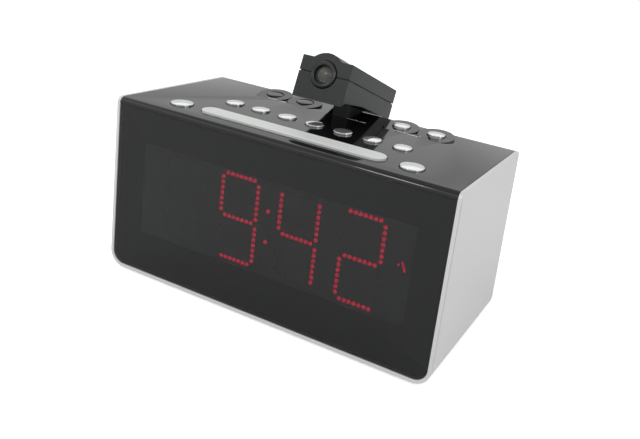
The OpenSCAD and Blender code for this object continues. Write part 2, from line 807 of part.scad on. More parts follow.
// The lower half, with a lip that closes the joint line behind its outer groove
module pod_lower() color([0.05, 0.05, 0.055]) standing() pod_frame() {
    slot_w = neck_w + 2 * ear_gap;
    slot_rear = neck_d / 2 / cos(pod_pitch) + (pod_h - pivot_d) * tan(pod_pitch) + 0.5;
    difference() {
        union() {
            intersection() {
                difference() {
                    pod_solid();
                    pod_solid(pod_wall);
                }
                below(part_h + part_gap);
            }
            intersection() {
                difference() {
                    pod_solid(pod_wall / 2);
                    pod_solid(pod_wall);
                    below(part_h + 2 * part_gap);
                }
                below(part_h - part_gap);
            }
            intersection() {
                pod_solid(pod_wall / 2);
                union() {
                    intersection() {
                        pod_ribs();
                        below(part_h + part_gap);
                    }
                    for (p = pod_posts()) translate([p[0], p[1], -over])
                        cylinder(d = pod_post_d, h = over - part_h);
                }
            }
            for (side = [-1, 1]) ear(side);
        }
        lens_recess();
        translate([0, 0, -lens_z]) bar_y(barrel_d + 2 * run_gap, barrel_front, barrel_l);
        for (p = pod_posts()) translate([p[0], p[1], -part_h])
            cylinder(d = pod_post_d + 2 * run_gap, h = part_h);
        box_at([-slot_w / 2, pivot_a - neck_d / 2 - 0.4, -pod_h - 1],
               [slot_w / 2, pivot_a + slot_rear, -pod_h + pod_wall + 0.01]);
        translate([0, pivot_a, -pivot_d]) bar_x(pin_d + 0.04, pod_w - 4 * pod_wall);
        for (p = pod_posts()) translate([p[0], p[1], -over]) {
            cylinder(d = post_hole_d + 0.3, h = over);
            cylinder(d = small_head_d + 0.2, h = over - pod_screw_z());
        }
    }
}

function pod_screw_z() = pod_h - 1.9;

// Saddles under the lens barrel and a slotted seat for the lamp board
module pod_ribs() {
    for (a = [barrel_front + 2, barrel_front + barrel_l - 4]) box_at([-over, a, -over], [over, a + 1.5, 0]);
    for (a = [led_board_a - 1.3, led_board_a + pcb_t + 0.1])
        box_at([-over, a, -over], [over, a + 1.2, -pod_h + pod_wall + 2]);
}

// An ear of the pod that holds one end of the tilt pin
module ear(side) {
    rise = pod_h - pivot_d - pod_wall / 2;
    translate([side * (neck_w / 2 + ear_gap + ear_t / 2), pivot_a, -pivot_d]) {
        translate([0, 0, -rise / 2]) cube([ear_t, knuckle_d, rise], center = true);
        bar_x(knuckle_d, ear_t);
    }
}

module pod_screws() color("silver") standing() pod_frame() for (p = pod_posts())
    translate([p[0], p[1], -pod_screw_z()]) small_screw(pod_screw_z() - 3.4);

// The turning lens cell: a front ring, and a spigot that runs in the barrel
module focus_ring() color([0.12, 0.12, 0.13]) standing() pod_frame() translate([0, 0, -lens_z]) {
    inner = lens_d / 2 + run_gap;
    rotate([-90, 0, 0]) rotate_extrude() polygon([
        [inner, 0.6 - ring_front], [ring_d / 2 - 0.6, -ring_front], [ring_d / 2, 0.6 - ring_front],
        [ring_d / 2, ring_t - ring_front - 0.2], [cell_spigot_d / 2, ring_t - ring_front - 0.2],
        [cell_spigot_d / 2, ring_t + cell_spigot_l], [cell_bore_d / 2, ring_t + cell_spigot_l],
        [cell_bore_d / 2, lens_seat], [inner, lens_seat]]);
}

module projection_lens() color([0.6, 0.6, 0.62, 0.5]) standing() pod_frame() translate([0, 0, -lens_z]) {
    r = lens_d / 2;
    crown = 1.3;
    ball = (r * r + crown * crown) / (2 * crown);
    sweep = asin(r / ball);
    front = lens_seat - 0.8 - crown;
    rotate([-90, 0, 0]) rotate_extrude() polygon(concat(
        [for (i = [0:8]) let (a = sweep * i / 8) [ball * sin(a), front + ball - ball * cos(a)]],
        [[r, lens_seat], [0, lens_seat]]));
}

module lens_barrel() color([0.03, 0.03, 0.03]) standing() pod_frame() translate([0, 0, -lens_z])
    difference() {
        bar_y(barrel_d, barrel_front, barrel_l);
        bar_y(cell_spigot_d + 2 * run_gap, barrel_front - 1, barrel_l + 2);
    }

// The small liquid-crystal slide whose digits are thrown on the ceiling
module clock_slide() color([0.3, 0.35, 0.35]) standing() pod_frame()
    translate([0, barrel_front + barrel_l + slide_t / 2, -lens_z]) cube([13, slide_t, 11.5], center = true);

module projector_led() color("red") standing() pod_frame() translate([0, led_board_a, -lens_z])
    rotate([90, 0, 0]) {
        cylinder(d = led_d + 0.8, h = 1);
        cylinder(d = led_d, h = 3.2);
        translate([0, 0, 3.2]) intersection() {
            sphere(d = led_d);
            cylinder(d = led_d, h = led_d);
        }
    }

module projector_led_board() color("darkgreen") standing() pod_frame()
    box_at([-8, led_board_a, -pod_h + pod_wall + 0.05], [8, led_board_a + pcb_t, -3]);

// ---------- electronics and loudspeaker ----------

module main_board() color("darkgreen") standing() floor_frame()
    translate([floor_board_x, floor_board_y, floor_board_z])
    difference() {
        translate([0, 0, pcb_t / 2]) cube([floor_board_w, floor_board_d, pcb_t], center = true);
        for (p = board_corners()) translate([p[0], p[1], -1]) cylinder(d = post_hole_d + 0.6, h = 4);
    }

module main_board_parts() color([0.1, 0.1, 0.12]) standing() floor_frame()
    translate([floor_board_x, floor_board_y, floor_board_z + pcb_t]) {
        w = floor_board_w / 10;
        d = floor_board_d / 10;
        translate([-w, d, chip_h / 2]) cube([7.5 * chip_h, 3.1 * chip_h, chip_h], center = true);
        translate([2 * w, -1.4 * d, chip_h / 2]) cube([4 * chip_h, 2.5 * chip_h, chip_h], center = true);
        translate([-3.2 * w, -1.8 * d, 1.5 * chip_h])
            cube([5 * chip_h, 5 * chip_h, 3 * chip_h], center = true);
        for (k = [0:2]) translate([w + 1.4 * can_d * k, 2.7 * d, 0]) cylinder(d = can_d, h = can_h);
        for (k = [0:3]) translate([2 * chip_h * k - 3.5 * w, 3.2 * d, chip_h / 2])
            bar_x(chip_h, 1.6 * chip_h);
    }

module transformer_core() color([0.3, 0.3, 0.32]) standing() floor_frame()
    translate([transformer_x, transformer_y, wall + core_h / 2]) difference() {
        cube([core_w, core_d, core_h], center = true);
        for (side = [-1, 1]) translate([side * (core_leg + core_slot_w) / 2, 0, 0])
            cube([core_slot_w, 2 * core_d, core_slot_h], center = true);
    }

module transformer_coil() color([0.75, 0.6, 0.2]) standing() floor_frame()
    translate([transformer_x, transformer_y, wall + core_h / 2]) difference() {
        cube([core_leg + 2 * core_slot_w - 0.4, coil_d, core_slot_h - 0.4], center = true);
        cube([core_leg + 0.2, core_d + 0.2, core_slot_h], center = true);
    }

module speaker_place() {
    standing() rear_frame() translate([-speaker_x, -rear_t, -speaker_z]) children();
}

// Pressed frame: a flange on the rear cover, and a basket down to the magnet
module speaker_frame() color([0.25, 0.25, 0.27]) speaker_place() {
    r = speaker_d / 2;
    rotate([90, 0, 0]) rotate_extrude() polygon([
        [r, 0], [r, 1.6], [r - 4, 1.6], [14, 11], [14, 12], [9, 12], [9, 10.4], [12.8, 10.4],
        [r - 5.6, 0.8], [r - 5.6, 0]]);
}

module speaker_magnet() color([0.2, 0.2, 0.2]) speaker_place() bar_y(26, -20, 8);

module speaker_cone() color([0.1, 0.1, 0.1]) speaker_place() {
    r = speaker_d / 2 - 6;
    rotate([90, 0, 0]) rotate_extrude() polygon(concat(
        [[r, 0.2], [r, 0.8], [7, 8], [7, 11.6], [6.4, 11.6], [6.4, 7]],
        arc(0, 2.4, 6.2, 40, 90, 4), arc(0, 1.6, 6.2, 90, 40, 4),
        [[6.6, 6.2], [r - 1.4, 0.2]]));
}

// ---------- backup battery ----------

module battery_place() {
    standing() rear_frame() translate([box_x, 0, -box_z]) children();
}

module battery_door() color([0.05, 0.05, 0.055]) battery_place() {
    low_z = -box_in_h / 2 - ledge;
    difference() {
        union() {
            box_at([-door_w() / 2, -door_t, low_z], [door_w() / 2, 0, box_in_h / 2 + ledge - door_gap]);
            translate([0, -door_t / 2, low_z]) bar_x(door_t, door_w());
        }
        for (k = [-1:1]) translate([0, 0, box_in_h / 2 - 3.6 + 1.6 * k]) box_at([-8, -0.6, 0], [8, 1, 0.7]);
    }
    translate([0, -door_t / 2, low_z]) bar_x(door_pin_d, door_w() + 2 * door_pin_l);
}

module backup_cells() color([0.2, 0.25, 0.3]) battery_place() for (side = [-1, 1])
    translate([0, -cell_y, side * (cell_d + cell_gap) / 2]) {
        bar_x(cell_d, cell_l - 1);
        translate([side * (cell_l - 1) / 2, 0, 0]) bar_x(3.8, 1.6);
    }

module battery_contacts() color("silver") battery_place() for (end = [-1, 1], side = [-1, 1])
    translate([end * box_in_w / 2, -cell_y, side * (cell_d + cell_gap) / 2]) {
        reach = contact_room - 1.4;
        translate([-end * 0.25, 0, 0]) cube([0.5, 9, 9], center = true);
        rotate([0, -end * 90, 0]) cylinder(d1 = 7, d2 = 5, h = reach);
    }

// ---------- mains lead gland ----------

module lead_gland() color([0.05, 0.05, 0.05]) standing() rear_frame() translate([gland_x, 0, -gland_z])
    difference() {
        union() {
            bar_y(gland_body_d(), -rear_t - 5, rear_t + 5);
            bar_y(gland_body_d() + 3, 0, 2);
            bar_y(gland_body_d() + 2.4, -rear_t - 2.1, 2);
            translate([0, 2, 0]) rotate([-90, 0, 0])
                cylinder(d1 = gland_body_d(), d2 = lead_d + 1.8, h = 5);
        }
        bar_y(lead_d, -rear_t - 6, rear_t + 14);
    }

silver_shell();
top_cover();
rear_cover();
rubber_feet();
front_window();
window_mask();
display_block();
display_dots_lit();
display_dots_unlit();
display_board();
key_board();
key_switches();
key_board_screws();
rear_cover_screws();
snooze_bar();
large_key(-1);  // large_key_left
large_key(1);  // large_key_right
for (i = [1:row_n]) row_key(i);
for (i = [1:2]) left_rear_key(i);
for (i = [1:2]) right_rear_key(i);
neck();
neck_screws();
tilt_pin();
pod_upper();
pod_lower();
pod_screws();
focus_ring();
projection_lens();
lens_barrel();
clock_slide();
projector_led();
projector_led_board();
main_board();
main_board_parts();
transformer_core();
transformer_coil();
speaker_frame();
speaker_magnet();
speaker_cone();
battery_door();
backup_cells();
battery_contacts();
lead_gland();
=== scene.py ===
"""Looks of the projection alarm clock: finishes, rounded edges and printed marks over the frame.

Every length is in metres unless its name ends in _MM. The body frame has x to the right,
y rearwards from the front face and z up from the top face.
"""

import json
import math

import bmesh
import bpy
from mathutils import Matrix, Vector
from mathutils.bvhtree import BVHTree


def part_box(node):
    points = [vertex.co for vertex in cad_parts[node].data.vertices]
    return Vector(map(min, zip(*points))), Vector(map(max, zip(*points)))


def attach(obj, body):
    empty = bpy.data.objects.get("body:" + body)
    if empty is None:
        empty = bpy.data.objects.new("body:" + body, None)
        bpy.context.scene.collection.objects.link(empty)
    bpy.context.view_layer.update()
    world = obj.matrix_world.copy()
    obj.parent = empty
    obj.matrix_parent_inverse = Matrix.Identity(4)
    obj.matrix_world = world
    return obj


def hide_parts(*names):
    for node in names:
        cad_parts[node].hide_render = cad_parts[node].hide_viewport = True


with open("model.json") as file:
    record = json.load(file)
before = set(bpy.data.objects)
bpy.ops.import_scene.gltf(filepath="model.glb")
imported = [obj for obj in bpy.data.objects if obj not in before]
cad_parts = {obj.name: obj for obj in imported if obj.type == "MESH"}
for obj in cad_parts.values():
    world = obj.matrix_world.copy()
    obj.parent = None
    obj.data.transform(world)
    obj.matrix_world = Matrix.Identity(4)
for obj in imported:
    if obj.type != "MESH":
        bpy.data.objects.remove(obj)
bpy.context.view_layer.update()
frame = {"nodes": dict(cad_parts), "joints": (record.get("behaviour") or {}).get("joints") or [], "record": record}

MM = 0.001
NODES = frame["nodes"]
JOINTS = {joint["name"]: joint for joint in frame["joints"]}
BODY_OF = {
    node: body
    for body, members in frame["record"]["behaviour"]["bodies"].items()
    for node in members
}
SLOT_OF = {part["node"]: part["material_slot"] for part in frame["record"]["subparts"]}


# ---------------------------------------------------------------- frames and places


def middle_of(node):
    """The centre of a node's box at rest."""
    low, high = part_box(node)
    return (Vector(low) + Vector(high)) / 2


shell_low, shell_high = (Vector(corner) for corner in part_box("silver_shell"))
BODY = Matrix.Translation((0, shell_low.y, shell_high.z))
BODY_INVERSE = BODY.inverted()

POD_VERTS = NODES["pod_upper"].data.vertices
POD_AXIS = Vector(JOINTS["focus_turn"]["axis"])
POD_UP = Vector((1, 0, 0)).cross(POD_AXIS)
POD_SEAM = min(vert.co.dot(POD_UP) for vert in POD_VERTS)
POD_FRONT = min(vert.co.dot(POD_AXIS) for vert in POD_VERTS)
LENS_CENTRE = middle_of("projection_lens")


# ---------------------------------------------------------------- camera and light

SENSOR_MM = 36
LENS_MM = 41.683
SHIFT = (-0.09085, -0.1315)
CAMERA_AT = BODY @ Vector((0.17593, -0.2788, 0.09929))
CAMERA_HEADING = math.radians(23.842)
CAMERA_DIP = math.radians(15.454)
CAMERA_ROLL = math.radians(8.082)
CLIP_START = 0.01


def make_camera():
    data = bpy.data.cameras.new("camera")
    data.lens = LENS_MM
    data.sensor_width = SENSOR_MM
    data.sensor_fit = "HORIZONTAL"
    data.shift_x, data.shift_y = SHIFT
    data.clip_start = CLIP_START
    camera = bpy.data.objects.new("camera", data)
    heading = Matrix.Rotation(CAMERA_HEADING, 4, "Z")
    tilt = Matrix.Rotation(math.pi / 2 - CAMERA_DIP, 4, "X")
    roll = Matrix.Rotation(CAMERA_ROLL, 4, "Z")
    camera.matrix_world = Matrix.Translation(CAMERA_AT) @ heading @ tilt @ roll
    bpy.context.scene.collection.objects.link(camera)
    bpy.context.scene.camera = camera


# name, place, point it faces, size, watts, whether it shows in reflections
LAMPS = (
    ("key", (-0.5, -0.7, 1.0), (0, 0, 0.06), (0.8, 0.8), 5.0, False),
    ("side", (1.2, -0.1, 0.5), (0, 0, 0.05), (0.9, 0.9), 2.0, True),
    ("glint", (-0.35, -0.9, 0.75), (0, 0, 0.1), (0.14, 0.14), 0.7, True),
    ("strip", (1.1, -0.35, 0.45), (0, 0, 0.1), (0.12, 0.9), 1.0, True),
)


def make_lamp(name, at, aim, size, watts, mirrored):
    data = bpy.data.lights.new(name, "AREA")
    data.shape = "RECTANGLE"
    data.size, data.size_y = size
    data.energy = watts
    lamp = bpy.data.objects.new(name, data)
    lamp.visible_glossy = mirrored
    facing = (Vector(aim) - Vector(at)).to_track_quat("-Z", "Y")
    lamp.matrix_world = Matrix.Translation(at) @ facing.to_matrix().to_4x4()
    bpy.context.scene.collection.objects.link(lamp)


def math_node(tree, operation, first, second):
    """Joins two sockets, or a socket and a number, in a Math node."""
    node = tree.nodes.new("ShaderNodeMath")
    node.operation = operation
    for socket, value in zip(node.inputs, (first, second)):
        if isinstance(value, float):
            socket.default_value = value
        else:
            tree.links.new(value, socket)
    return node.outputs[0]


def smooth_step(tree, value, start, end, low, high):
    """Goes smoothly from low to high as a socket's value goes from start to end."""
    step = tree.nodes.new("ShaderNodeMapRange")
    step.interpolation_type = "SMOOTHSTEP"
    step.inputs["From Min"].default_value = start
    step.inputs["From Max"].default_value = end
    step.inputs["To Min"].default_value = low
    step.inputs["To Max"].default_value = high
    tree.links.new(value, step.inputs["Value"])
    return step.outputs["Result"]


DIFFUSE_SKY = 0.62
SEEN_SKY = 1.0
# strength of the mirrored sky near the horizon, in a band above it and overhead
MIRRORED_SKY = 0.8
HIGH_SKY = 1.35
TOP_SKY = 0.65
HIGH_FROM, HIGH_TO = 0.36, 0.52
TOP_FROM, TOP_TO = 0.62, 0.8


def make_world():
    """White to the camera, a banded bright sky in reflections, and a plain soft one otherwise."""
    world = bpy.data.worlds.new("studio")
    world.use_nodes = True
    tree = world.node_tree
    tree.nodes.clear()

    def sky(strength):
        shade = tree.nodes.new("ShaderNodeBackground")
        shade.inputs["Color"].default_value = (1, 1, 1, 1)
        shade.inputs["Strength"].default_value = strength
        return shade

    def either(factor, without, with_it):
        mix = tree.nodes.new("ShaderNodeMixShader")
        tree.links.new(factor, mix.inputs["Fac"])
        tree.links.new(without, mix.inputs[1])
        tree.links.new(with_it, mix.inputs[2])
        return mix.outputs[0]

    split = tree.nodes.new("ShaderNodeSeparateXYZ")
    tree.links.new(tree.nodes.new("ShaderNodeTexCoord").outputs["Generated"], split.inputs[0])
    height = split.outputs["Z"]
    rise = smooth_step(tree, height, HIGH_FROM, HIGH_TO, MIRRORED_SKY, HIGH_SKY)
    fall = smooth_step(tree, height, TOP_FROM, TOP_TO, 0, TOP_SKY - HIGH_SKY)
    mirrored = sky(MIRRORED_SKY)
    tree.links.new(math_node(tree, "ADD", rise, fall), mirrored.inputs["Strength"])

    ray = tree.nodes.new("ShaderNodeLightPath").outputs
    unseen = either(ray["Is Glossy Ray"], sky(DIFFUSE_SKY).outputs[0], mirrored.outputs[0])
    seen = math_node(tree, "MAXIMUM", ray["Is Camera Ray"], ray["Is Transmission Ray"])
    surface = either(seen, unseen, sky(SEEN_SKY).outputs[0])
    out = tree.nodes.new("ShaderNodeOutputWorld")
    tree.links.new(surface, out.inputs["Surface"])
    bpy.context.scene.world = world


FLOOR_HALF = 3.0
FLOOR_WHITE = 0.9
FLOOR_ROUGHNESS = 0.8
FLOOR_LIFT = 0.55
FLOOR_LIFT_MIRRORED = 0.1


def make_floor():
    """A pale floor whose own colour is lifted to white for the camera and in reflections."""
    mesh = bpy.data.meshes.new("floor")
    h = FLOOR_HALF
    mesh.from_pydata([(-h, -h, 0), (h, -h, 0), (h, h, 0), (-h, h, 0)], [], [(0, 1, 2, 3)])
    floor = bpy.data.objects.new("floor", mesh)
    bpy.context.scene.collection.objects.link(floor)
    material = bpy.data.materials.new("floor")
    material.use_nodes = True
    tree = material.node_tree
    shader = tree.nodes["Principled BSDF"]
    shader.inputs["Base Color"].default_value = (FLOOR_WHITE, FLOOR_WHITE, FLOOR_WHITE, 1)
    shader.inputs["Roughness"].default_value = FLOOR_ROUGHNESS
    shader.inputs["Specular IOR Level"].default_value = 0.0
    shader.inputs["Emission Color"].default_value = (1, 1, 1, 1)
    ray = tree.nodes.new("ShaderNodeLightPath").outputs
    lift = math_node(
        tree, "ADD",
        math_node(tree, "MULTIPLY", ray["Is Camera Ray"], FLOOR_LIFT),
        math_node(tree, "MULTIPLY", ray["Is Glossy Ray"], FLOOR_LIFT_MIRRORED),
    )
    tree.links.new(lift, shader.inputs["Emission Strength"])
    mesh.materials.append(material)


def make_stage():
    make_camera()
    make_world()
    make_floor()
    for lamp in LAMPS:
        make_lamp(*lamp)
    bpy.context.scene.view_settings.view_transform = "Standard"


# ---------------------------------------------------------------- materials

# most of a noise texture's values lie between these two
NOISE_LOW, NOISE_HIGH = 0.3, 0.7
NOISE_DETAIL = 3.0
EVEN = (1, 1, 1)


class Finish:
    """A Principled material with helpers for its grain, colour changes and bump."""

    def __init__(self, name, color, roughness, **settings):
        self.material = bpy.data.materials.new(name)
        self.material.use_nodes = True
        self.tree = self.material.node_tree
        self.shader = self.tree.nodes["Principled BSDF"]
        self.color = color
        self.shader.inputs["Base Color"].default_value = (*color, 1)
        self.shader.inputs["Roughness"].default_value = roughness
        for socket, value in settings.items():
            self.shader.inputs[socket.replace("_", " ")].default_value = value
        self.coordinates = self.tree.nodes.new("ShaderNodeTexCoord").outputs["Object"]

    def noise(self, scale, stretch):
        place = self.tree.nodes.new("ShaderNodeMapping")
        place.inputs["Scale"].default_value = stretch
        self.tree.links.new(self.coordinates, place.inputs["Vector"])
        noise = self.tree.nodes.new("ShaderNodeTexNoise")
        noise.inputs["Scale"].default_value = scale
        noise.inputs["Detail"].default_value = NOISE_DETAIL
        self.tree.links.new(place.outputs[0], noise.inputs["Vector"])
        return noise.outputs["Fac"]

    def spread(self, value, low, high):
        """Maps a texture's middle range to low..high."""
        span = self.tree.nodes.new("ShaderNodeMapRange")
        span.inputs["From Min"].default_value = NOISE_LOW
        span.inputs["From Max"].default_value = NOISE_HIGH
        span.inputs["To Min"].default_value = low
        span.inputs["To Max"].default_value = high
        self.tree.links.new(value, span.inputs["Value"])
        return span.outputs["Result"]

    def mix_colors(self, factor, first, second):
        mix = self.tree.nodes.new("ShaderNodeMix")
        mix.data_type = "RGBA"
        mix.inputs["A"].default_value = (*first, 1)
        mix.inputs["B"].default_value = (*second, 1)
        self.tree.links.new(factor, mix.inputs["Factor"])
        self.tree.links.new(mix.outputs["Result"], self.shader.inputs["Base Color"])

    def rough(self, low, high, scale, stretch=EVEN):
        """Varies the roughness between two values."""
        value = self.spread(self.noise(scale, stretch), low, high)
        self.tree.links.new(value, self.shader.inputs["Roughness"])
        return self

    def tint(self, other, scale):
        """Varies the colour towards another one."""
        self.mix_colors(self.spread(self.noise(scale, EVEN), 0, 1), self.color, other)
        return self

    def round_tint(self, other, centre, near, far):
        """Fades from another colour near a point to the finish's own one further off."""
        away = self.tree.nodes.new("ShaderNodeVectorMath")
        away.operation = "DISTANCE"
        self.tree.links.new(self.coordinates, away.inputs[0])
        away.inputs[1].default_value = centre
        fade = smooth_step(self.tree, away.outputs["Value"], near, far, 0, 1)
        self.mix_colors(fade, other, self.color)
        return self

    def bump(self, scale, height, strength=0.3, stretch=EVEN):
        bump = self.tree.nodes.new("ShaderNodeBump")
        bump.inputs["Strength"].default_value = strength
        bump.inputs["Distance"].default_value = height
        self.tree.links.new(self.noise(scale, stretch), bump.inputs["Height"])
        self.tree.links.new(bump.outputs["Normal"], self.shader.inputs["Normal"])
        return self


# noise scales that draw fine lines along x, stacked plates along y and turns of tape along z
BRUSHED = (25, 2600, 2600)
LAMINATED = (1, 2200, 1)
WOUND = (1, 1, 900)


def make_finishes():
    """A finish for each of the record's slots, and one for the printed marks."""
    f = {}
    f["silver_plastic"] = Finish("silver_paint", (0.63, 0.635, 0.63), 0.38, Metallic=0.25)
    f["silver_plastic"].tint((0.65, 0.655, 0.65), 1800).rough(0.34, 0.40, 1200)
    f["silver_plastic"].bump(3600, 0.00001)
    f["black_gloss"] = Finish("black_gloss", (0.006, 0.006, 0.007), 0.07)
    f["black_gloss"].rough(0.05, 0.10, 60).bump(90, 0.00004, 0.15)
    f["black_plastic"] = Finish("black_plastic", (0.022, 0.022, 0.024), 0.48)
    f["black_plastic"].tint((0.028, 0.028, 0.03), 500).rough(0.42, 0.55, 700)
    f["black_plastic"].bump(3200, 0.00005, 0.5)
    f["pod_plastic"] = Finish("pod_plastic", (0.015, 0.017, 0.0175), 0.34,
                              Specular_IOR_Level=0.35)
    f["pod_plastic"].tint((0.018, 0.0205, 0.021), 450).rough(0.30, 0.38, 600)
    f["pod_plastic"].bump(3000, 0.00002, 0.25)
    f["smoked_window"] = Finish("smoked_acrylic", (0.013, 0.014, 0.014), 0.03,
                                IOR=1.49, Alpha=0.6)
    f["mask_black"] = Finish("mask_ink", (0.014, 0.014, 0.014), 0.6)
    f["mask_black"].rough(0.55, 0.6, 2400)
    f["display_black"] = Finish("display_moulding", (0.085, 0.089, 0.087), 0.7)
    f["display_black"].tint((0.088, 0.092, 0.090), 2400)
    f["dot_red"] = Finish("lit_dot", (0.6, 0.01, 0.04), 0.4,
                          Emission_Color=(1.0, 0.0, 0.07, 1), Emission_Strength=1.7)
    f["dot_dark"] = Finish("unlit_dot", (0.080, 0.082, 0.081), 0.7)
    f["dot_dark"].rough(0.65, 0.75, 900)
    f["board_green"] = Finish("solder_mask", (0.01, 0.10, 0.045), 0.35)
    f["board_green"].tint((0.02, 0.14, 0.06), 700).bump(900, 0.00003)
    f["parts_dark"] = Finish("moulded_parts", (0.03, 0.03, 0.033), 0.5)
    f["parts_dark"].rough(0.4, 0.6, 900).bump(2600, 0.00003)
    f["key_chrome"] = Finish("key_plating", (0.68, 0.70, 0.68), 0.1, Metallic=0.85)
    f["key_chrome"].rough(0.08, 0.12, 900)
    f["key_black"] = Finish("key_black", (0.010, 0.010, 0.012), 0.14)
    f["key_black"].rough(0.10, 0.18, 500)
    f["snooze_silver"] = Finish("satin_silver", (0.68, 0.70, 0.68), 0.5, Metallic=0.1)
    f["snooze_silver"].rough(0.45, 0.55, 1, BRUSHED).bump(1, 0.00001, 0.2, BRUSHED)
    f["steel"] = Finish("plated_steel", (0.55, 0.55, 0.56), 0.3, Metallic=1.0)
    f["steel"].rough(0.22, 0.4, 900)
    f["foot_rubber"] = Finish("foot_rubber", (0.015, 0.015, 0.015), 0.8)
    f["foot_rubber"].rough(0.7, 0.9, 900).bump(2600, 0.00006, 0.6)
    f["lens_glass"] = Finish("lens_glass", (0.060, 0.070, 0.060), 0.06, IOR=1.52, Alpha=0.85)
    # the red-brown towards the lens's middle is a painted look of the red inside seen through the glass, not a
    # colour of the glass itself
    f["lens_glass"].round_tint((0.13, 0.085, 0.08), LENS_CENTRE, 0.2 * MM, 3.0 * MM)
    f["ring_black"] = Finish("ring_black", (0.016, 0.016, 0.018), 0.28)
    f["ring_black"].rough(0.22, 0.34, 900).bump(3000, 0.00002)
    f["slide_glass"] = Finish("slide_glass", (0.16, 0.16, 0.17), 0.08)
    f["slide_glass"].tint((0.2, 0.12, 0.12), 200)
    f["led_red"] = Finish("led_red", (0.5, 0.02, 0.02), 0.2)
    f["led_red"].rough(0.15, 0.25, 500)
    f["core_steel"] = Finish("core_steel", (0.16, 0.16, 0.18), 0.45, Metallic=0.8)
    f["core_steel"].bump(1, 0.0001, 0.8, LAMINATED)
    f["coil_tape"] = Finish("coil_tape", (0.62, 0.42, 0.06), 0.35)
    f["coil_tape"].rough(0.3, 0.45, 300).bump(1, 0.00005, 0.5, WOUND)
    f["speaker_steel"] = Finish("speaker_steel", (0.35, 0.35, 0.37), 0.35, Metallic=1.0)
    f["speaker_steel"].rough(0.3, 0.45, 500)
    f["magnet"] = Finish("ferrite", (0.05, 0.05, 0.055), 0.6)
    f["magnet"].bump(1500, 0.00008)
    f["cone_paper"] = Finish("cone_paper", (0.02, 0.02, 0.02), 0.9)
    f["cone_paper"].tint((0.035, 0.033, 0.03), 800).bump(1800, 0.0001, 0.7)
    f["cell_wrap"] = Finish("cell_wrap", (0.06, 0.08, 0.12), 0.3)
    f["cell_wrap"].rough(0.25, 0.4, 400)
    f["print_white"] = Finish("print_white", (0.8, 0.8, 0.8), 0.5)
    f["print_white"].rough(0.4, 0.6, 900)
    return f


# ---------------------------------------------------------------- dressing CAD nodes

SMOOTH_ANGLE = math.radians(40)


def adopt(piece, node):
    """The piece rides on the node's body, and the node is hidden."""
    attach(piece, BODY_OF[node])
    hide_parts(node)


def smooth(obj):
    """Shades the faces as one where they meet at less than the smooth angle."""
    bpy.context.view_layer.objects.active = obj
    for other in bpy.context.selected_objects:
        other.select_set(False)
    obj.select_set(True)
    bpy.ops.object.shade_smooth_by_angle(angle=SMOOTH_ANGLE)
    obj.select_set(False)


def plain(node):
    """Gives a node its finish."""
    materials = NODES[node].data.materials
    materials.clear()
    materials.append(FINISHES[SLOT_OF[node]].material)


# edges that turn more than the first angle are rounded, and those past the second are thin lips
SHARP_ANGLE = math.radians(35)
LIP_ANGLE = math.radians(100)
LIP_SHARE = 0.25

# an edge is upright if it is this near the pod's own vertical, and long enough
UPRIGHT = 0.98
UPRIGHT_MM = 3
FRONT_REACH_MM = 6.0
SEAM_REACH_MM = 0.9
SEAM_SHARE = 0.2
POD_SHARE = 0.5


def edge_share(edge):
    """How much of the rounding an edge gets: none if it is smooth, little if it is a thin lip."""
    if len(edge.link_faces) != 2:
        return 0.0
    turn = edge.calc_face_angle(0.0)
    if turn < SHARP_ANGLE:
        return 0.0
    return LIP_SHARE if turn > LIP_ANGLE and edge.is_convex else 1.0


def pod_edge_share(edge):
    """The pod's front upright edges are soft, its others less so, and its joint line is thin."""
    share = edge_share(edge)
    along = edge.verts[1].co - edge.verts[0].co
    depth = max(vert.co.dot(POD_AXIS) for vert in edge.verts) - POD_FRONT
    upright = abs(along.normalized().dot(POD_UP)) > UPRIGHT and along.length > UPRIGHT_MM * MM
    if upright and depth < FRONT_REACH_MM * MM:
        return share
    heights = [vert.co.dot(POD_UP) - POD_SEAM for vert in edge.verts]
    if max(abs(height) for height in heights) < SEAM_REACH_MM * MM:
        return min(share, SEAM_SHARE)
    return min(share, POD_SHARE)


LIFT_MM = 0.01


def in_the_open(edge, tree):
    """Whether nothing of the same mesh lies over the edge."""
    outward = sum((face.normal for face in edge.link_faces), Vector())
    middle = (edge.verts[0].co + edge.verts[1].co) / 2
    return tree.ray_cast(middle + outward * LIFT_MM * MM, outward)[0] is None


MERGE_MM = 0.003
FLAT_ANGLE = math.radians(1)
EDGE_SEGMENTS = 3


def rounded(node, radius_mm, share=edge_share):
    """A copy of a node whose sharp outer edges are rounded, in place of the node."""
    mesh = NODES[node].data.copy()
    mesh.name = node + "_rounded"
    piece = bpy.data.objects.new(mesh.name, mesh)
    bpy.context.scene.collection.objects.link(piece)
    form = bmesh.new()
    form.from_mesh(mesh)
    bmesh.ops.remove_doubles(form, verts=form.verts, dist=MERGE_MM * MM)
    bmesh.ops.dissolve_limit(form, angle_limit=FLAT_ANGLE, verts=form.verts, edges=form.edges)
    weight = form.edges.layers.float.new("bevel_weight_edge")
    tree = BVHTree.FromBMesh(form)
    for edge in form.edges:
        part = share(edge)
        edge[weight] = part if part and in_the_open(edge, tree) else 0.0
    form.to_mesh(mesh)
    form.free()
    for name in [a.name for a in mesh.attributes if a.name.startswith("custom_normal")]:
        mesh.attributes.remove(mesh.attributes[name])
    bevel = piece.modifiers.new("edges", "BEVEL")
    bevel.width = radius_mm * MM
    bevel.segments = EDGE_SEGMENTS
    bevel.limit_method = "WEIGHT"
    bevel.use_clamp_overlap = False
    bevel.miter_outer = "MITER_ARC"
    bevel.harden_normals = True
    smooth(piece)
    mesh.materials.clear()
    mesh.materials.append(FINISHES[SLOT_OF[node]].material)
    adopt(piece, node)


# ---------------------------------------------------------------- new pieces


